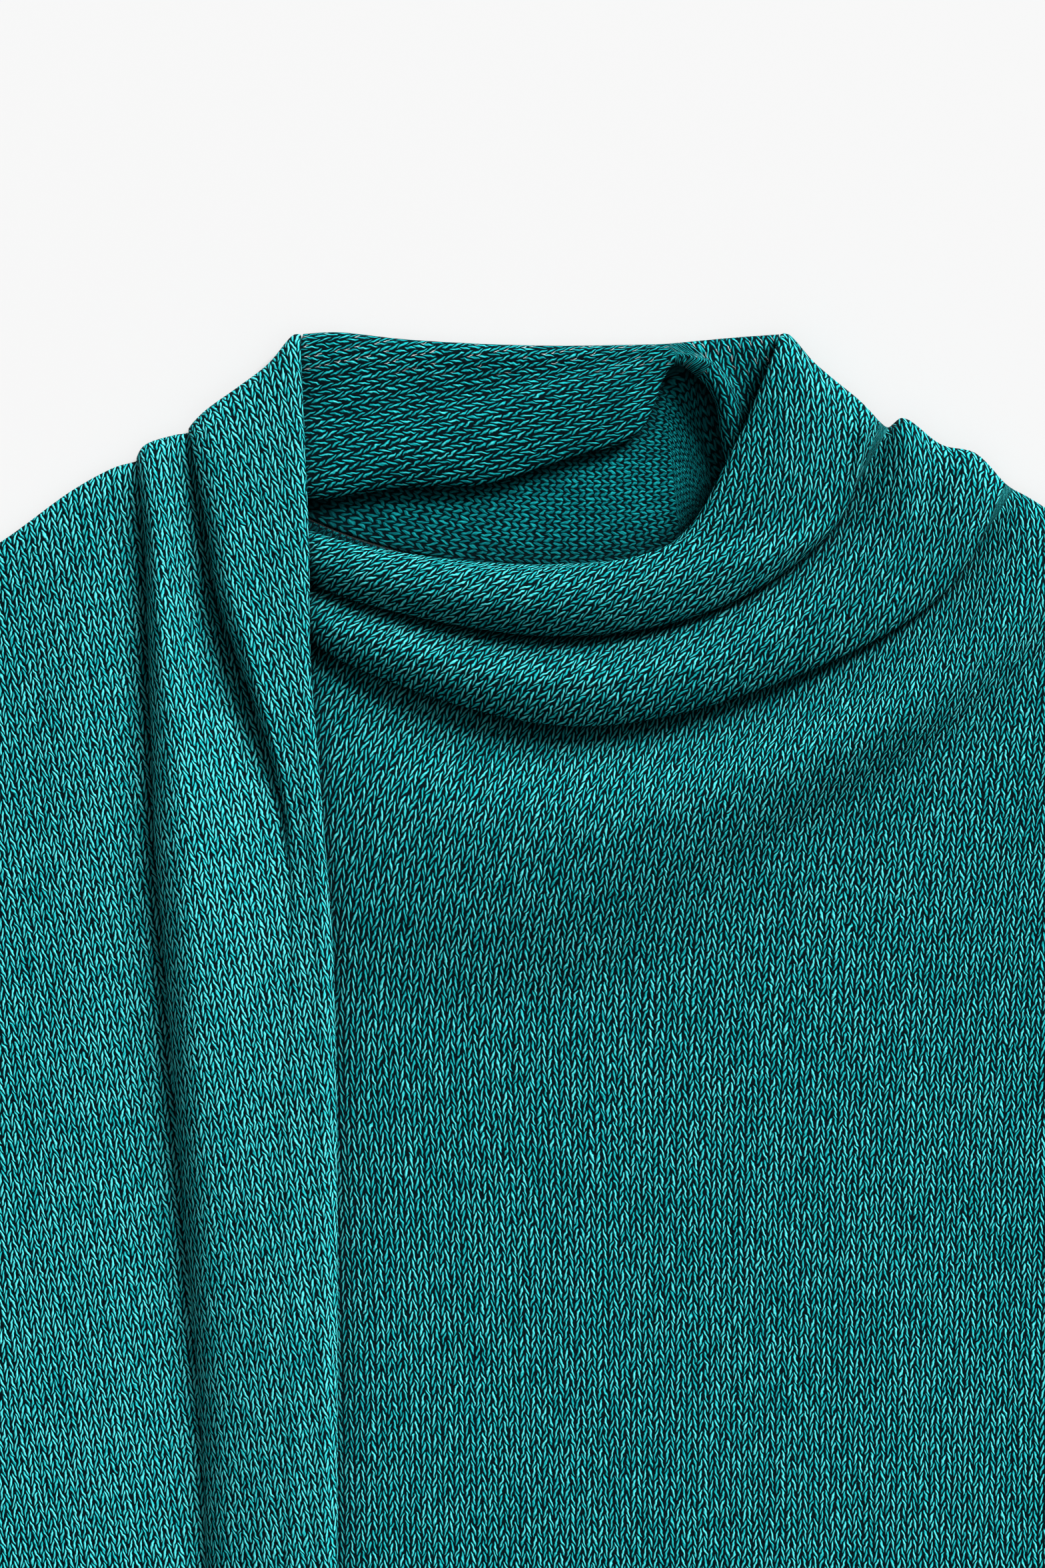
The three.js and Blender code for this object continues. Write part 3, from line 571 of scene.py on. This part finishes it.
def back(neck_seam):
    """The flat back, a seam's gap inside the outline of the collar and the shoulders."""
    def along(start, end, t):
        run = np.array([end[0] - start[0], end[1] - start[1], 0.0])
        into = unit(np.array([-math.copysign(1, start[0]) * abs(run[1]), -abs(run[0]), 0.0]))
        return point(start, 0) + run * t + into * SEAM

    def shoulder(seam):
        return [along(seam["foot"], seam["tip"], t) for t in (0.02, 0.3, 0.65, 0.985)]

    neck = [p - (0, SEAM * 1.3, 0) for p in neck_seam[1:-1]]
    highest = np.array(shoulder(SEAM_LEFT)[::-1] + neck + shoulder(SEAM_RIGHT))
    highest[:, 2] = 0
    reach = highest[-1][0]
    lines = [highest]
    for i, (x, y) in enumerate(SIDE[2:]):
        half = x - (0 if y == HEM else 1.2) - (3 if i == 0 else 0)
        lines.append(np.array([(p[0] / reach * half, y, 0) for p in highest]))
    grid, place = loft(lines[::-1], 3.0)
    grain = [[0] * len(highest)] * len(lines)
    loose = looseness(place, 0, []), looseness(place, 1, [])
    return grid, stitch_lines(grid, spread(grain, place), loose)


class Value:
    """A number that varies over a surface: a socket with arithmetic."""

    def __init__(self, graph, socket):
        self.graph, self.socket = graph, socket

    def do(self, operation, *others, **settings):
        return self.graph.node("Math", {"operation": operation, **settings}, (self, *others))[0]

    def __add__(self, other):
        return self.do("ADD", other)

    def __sub__(self, other):
        return self.do("SUBTRACT", other)

    def __mul__(self, other):
        return self.do("MULTIPLY", other)

    def __truediv__(self, other):
        return self.do("DIVIDE", other)

    def __rsub__(self, other):
        return (self * -1) + other

    def __gt__(self, other):
        return self.do("GREATER_THAN", other)

    def __abs__(self):
        return self.do("ABSOLUTE")

    def floor(self):
        return self.do("FLOOR")

    def part(self):
        """What is left above the whole number."""
        return self.do("FRACT")

    def cos(self):
        return self.do("COSINE")

    def sin(self):
        return self.do("SINE")

    def root(self):
        return self.do("SQRT")

    def clamped(self):
        return self.do("ADD", 0, use_clamp=True)

    def ramp(self, low, high):
        """0 at low, 1 at high and smooth in between."""
        smooth = {"interpolation_type": "SMOOTHSTEP"}
        return self.graph.node("MapRange", smooth, (self, low, high, 0.0, 1.0))[0]

    __radd__, __rmul__ = __add__, __mul__


class Graph:
    """The nodes of one material."""

    def __init__(self, material):
        self.tree = material.node_tree

    def node(self, kind, settings, inputs):
        """Adds a node of a kind; inputs are given in order or by name. Returns its outputs."""
        made = self.tree.nodes.new("ShaderNode" + kind)
        for name, value in settings.items():
            if name == "stops":
                ramp = made.color_ramp
                while len(ramp.elements) < len(value):
                    ramp.elements.new(0.5)
                for element, (at, colour) in zip(ramp.elements, value):
                    element.position, element.color = at, (*colour, 1)
            else:
                setattr(made, name, value)
        named = inputs.items() if isinstance(inputs, dict) else enumerate(inputs)
        for key, value in named:
            if isinstance(value, Value):
                self.tree.links.new(value.socket, made.inputs[key])
            else:
                made.inputs[key].default_value = value
        return [Value(self, out) for out in made.outputs]


# Colours of the knit, from painted shade in the gaps between stitches to painted highlight on
# the crowns of its lightest strands, with the marl's own tones between.
YARN_AND_STITCH_SHADE = [(0.0, (0.0, 0.003, 0.005)), (0.2, (0.0, 0.024, 0.030)), (0.5, (0.001, 0.205, 0.228)),
        (0.75, (0.012, 0.515, 0.54)), (1.0, (0.12, 0.86, 0.875))]
# painted shade for the darkest part of a fold
PAINTED_FOLD_SHADE = (0.0, 0.006, 0.008, 1)  # deep in a fold
GROUND_SHADE = (0.62, 0.74, 0.73, 1)  # the pale table behind a gap
LEAN = 1.45  # how many courses a leg of a stitch climbs over its half of the wale
PURL = 0.78  # size of a stitch on the wrong side, where only part of it shows


def knit(name, right_side, fullness=1.0, brightness=1.0, reach=0.022, closed=0.29, pinholes=False):
    """Jersey knit of marled strands: legs in V shape on the right side, rows of bumps behind,
    with painted shade in the gaps between stitches and painted highlight on their crowns.
    fullness: how much of its room a leg fills. reach: how near other cloth must be for painted
    shade in a fold, and closed: how little sky is left where that painted shade is darkest.
    pinholes: gaps along the upper fold."""
    material = bpy.data.materials.new(name)
    material.use_nodes = True
    graph = Graph(material)
    shader = next(n for n in graph.tree.nodes if n.type == "BSDF_PRINCIPLED")
    shader.inputs["Roughness"].default_value = 0.88
    shader.inputs["Specular IOR Level"].default_value = 0.06
    (flat,) = graph.node("UVMap", {"uv_map": "knit"}, ())
    u, v, _ = graph.node("SeparateXYZ", {}, (flat,))

    def noise(per_u, per_v, detail=1.0):
        at = graph.node("CombineXYZ", {}, (u * per_u, v * per_v, 0.0))[0]
        made = graph.node("TexNoise", {"noise_dimensions": "2D"},
                          {"Vector": at, "Scale": 1.0, "Detail": detail})
        return made[0] - 0.5, made[1]

    def unevenness(per_u, per_v):
        """How far stitches stand off their place, across the wales and along them."""
        off_u, both = noise(per_u, per_v)
        return off_u, graph.node("SeparateColor", {}, (both,))[1] - 0.5

    def by_chance(column, row, layer):
        """A number and a colour of its own for each stitch."""
        cell = graph.node("CombineXYZ", {}, (column, row, layer))[0]
        return graph.node("TexWhiteNoise", {"noise_dimensions": "3D"}, {"Vector": cell})

    sway_u, sway_v = unevenness(0.16, 0.21)
    bend_u, bend_v = unevenness(0.45, 0.5)
    size = 1 if right_side else PURL
    wales = (u + sway_u * 1.3 + bend_u * 0.7) / (WALE * size)
    courses = (v + sway_v * 1.5 + bend_v * 1.0) / (COURSE * size)
    across = wales.part()
    if right_side:
        aside = abs(across * 2 - 1)  # 0 in the middle of a wale, 1 between wales
        rising = courses - aside * LEAN + (across > 0.5) * 0.25
        row, up_leg = rising.floor(), rising.part()
        chance, colour = by_chance(wales.floor() * 2 + (across > 0.5), row, 0.0)
        other = graph.node("SeparateColor", {}, (colour,))[1]
        lengthwise = (aside - 0.5 + (other - 0.5) * 0.1) / (0.43 * fullness)
        widthwise = (up_leg - 0.5 + (chance - 0.5) * 0.1) / (0.39 * fullness)
        wound = aside
    else:
        rising = courses + (across * 2 * math.pi).cos() * 0.26
        row, up_leg = rising.floor(), rising.part()
        chance, colour = by_chance((wales * 2).floor(), row, 7.0)
        other = graph.node("SeparateColor", {}, (colour,))[1]
        lengthwise = ((wales * 2).part() - 0.5) / 0.56
        widthwise = (up_leg - 0.5) / 0.44
        wound = across
    height = (1 - (lengthwise * lengthwise + widthwise * widthwise)).clamped().root()
    twist = ((up_leg * 2.1 + wound * 1.2 + other) * 2 * math.pi).sin()

    # painted shade in the gaps between stitches and painted highlight on their raised crowns, times the
    # marl's own tone
    lit = height.ramp(0.05, 0.75)
    streak = noise(0.09, 0.42, 2.0)[0]
    cloud = noise(0.02, 0.03, 2.0)[0]
    tone = 0.60 + chance * 0.26 + streak * 0.2 + cloud * 0.08 + twist * 0.08
    shade = (lit * tone * (0.78 + height * 0.38) * brightness + 0.03).clamped()
    yarn_with_painted_shade = graph.node("ValToRGB", {"stops": YARN_AND_STITCH_SHADE}, (shade,))[0]

    def over(colour, share, other_colour):
        return graph.node("Mix", {"data_type": "RGBA"}, {0: share, 6: colour, 7: other_colour})[2]

    # painted shade: the cloth darkens where other cloth near it hides the sky, deep in folds and under
    # rolls
    sky = graph.node("AmbientOcclusion", {"samples": 6}, {"Distance": reach})[1]
    fold_shade_share = 1 - sky.ramp(closed, 0.98)
    yarn_with_painted_shade = over(yarn_with_painted_shade, fold_shade_share * 0.85, PAINTED_FOLD_SHADE)
    if pinholes:  # the pale ground shows between stitches near the folded edge
        gap = by_chance(wales.floor(), row, 3.0)[0] > 0.5
        object_place = graph.node("TexCoord", {}, ())[3]
        near_edge = graph.node("SeparateXYZ", {}, (object_place,))[1].ramp(0.297, 0.305)
        spot = (1 - (aside * aside * 26 + (up_leg - 0.5) * (up_leg - 0.5) * 26)).ramp(0.2, 0.8)
        yarn_with_painted_shade = over(yarn_with_painted_shade, spot * gap * near_edge, GROUND_SHADE)
    graph.tree.links.new(yarn_with_painted_shade.socket, shader.inputs["Base Color"])
    relief = height * (0.8 + chance * 0.4) + twist * 0.06
    bump = graph.node("Bump", {}, {"Strength": 0.9, "Distance": 0.0007, "Height": relief})[0]
    graph.tree.links.new(bump.socket, shader.inputs["Normal"])
    return material


# The camera looks straight down on the middle of a field of 384 by 576 mm.
FIELD = 0.576
FIELD_MIDDLE = (-0.0059, 0.1494)
LENS, SENSOR = 80.0, 36.0
camera_data = bpy.data.cameras.new("camera")
camera_data.lens, camera_data.sensor_width = LENS, SENSOR
camera = bpy.data.objects.new("camera", camera_data)
camera.location = (*FIELD_MIDDLE, FIELD * LENS / SENSOR)
bpy.context.scene.collection.objects.link(camera)
bpy.context.scene.camera = camera

face = knit("knit_right_side", True)
# the wrong side is darker overall as painted shade inside the neck opening, and its painted fold shade
# reaches farther
reverse = knit("knit_wrong_side", False, brightness=0.64, reach=0.035, closed=0.52)
# the left panel's knit is tighter and paler, and its painted fold shade reaches farther beside the pleats
full_face = knit("knit_left_panel", True, fullness=1.06, brightness=1.08, reach=0.03, closed=0.3)
# the band is darker partly for its thinner cloth and partly as painted shade inside the neck
band_face = knit("knit_band", True, fullness=0.97, brightness=0.82, pinholes=True)

band_lines, band_grid, band_knit = collar()
neck_seam = through(band_lines[0][:, None], BAND_STEPS)[:, 0]
made = {
    "front_right": (*front_right(), [face, reverse]),
    "front_left": (*front_left(), [full_face, reverse]),
    "collar": (band_grid, band_knit, [band_face, reverse]),
    "back": (*back(neck_seam), [face, reverse]),
}

OWN_YARN = 300  # millimetres from one panel's stitches to the next one's, so that they differ
for number, (node, (grid, knit_at, materials)) in enumerate(made.items()):
    piece = cloth(node + "_knit", grid, knit_at + number * OWN_YARN, materials)
    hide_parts(node)
    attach(piece, "root")

# A pale table, white surroundings and one soft light from the upper right.
TOWARDS_LIGHT = (0.56, 0.71, 0.46)
bpy.ops.object.select_all(action="DESELECT")
bpy.ops.mesh.primitive_plane_add(size=8, location=(0, 0, -0.0003))
floor = bpy.context.object
floor.name = "table_top"
paper = bpy.data.materials.new("pale_table")
paper.use_nodes = True
paper_shader = next(n for n in paper.node_tree.nodes if n.type == "BSDF_PRINCIPLED")
paper_shader.inputs["Base Color"].default_value = (0.88, 0.88, 0.88, 1)
paper_shader.inputs["Roughness"].default_value = 0.9
floor.data.materials.append(paper)
world = bpy.data.worlds.new("studio")
world.use_nodes = True
world.node_tree.nodes["Background"].inputs["Color"].default_value = (1, 1, 1, 1)
world.node_tree.nodes["Background"].inputs["Strength"].default_value = 0.22
bpy.context.scene.world = world
key_data = bpy.data.lights.new("key", "SUN")
key_data.energy, key_data.angle = 5.8, math.radians(24)
key = bpy.data.objects.new("key", key_data)
key.rotation_euler = Vector(TOWARDS_LIGHT).to_track_quat("Z", "Y").to_euler()
bpy.context.scene.collection.objects.link(key)
bpy.context.scene.view_settings.view_transform = "Standard"
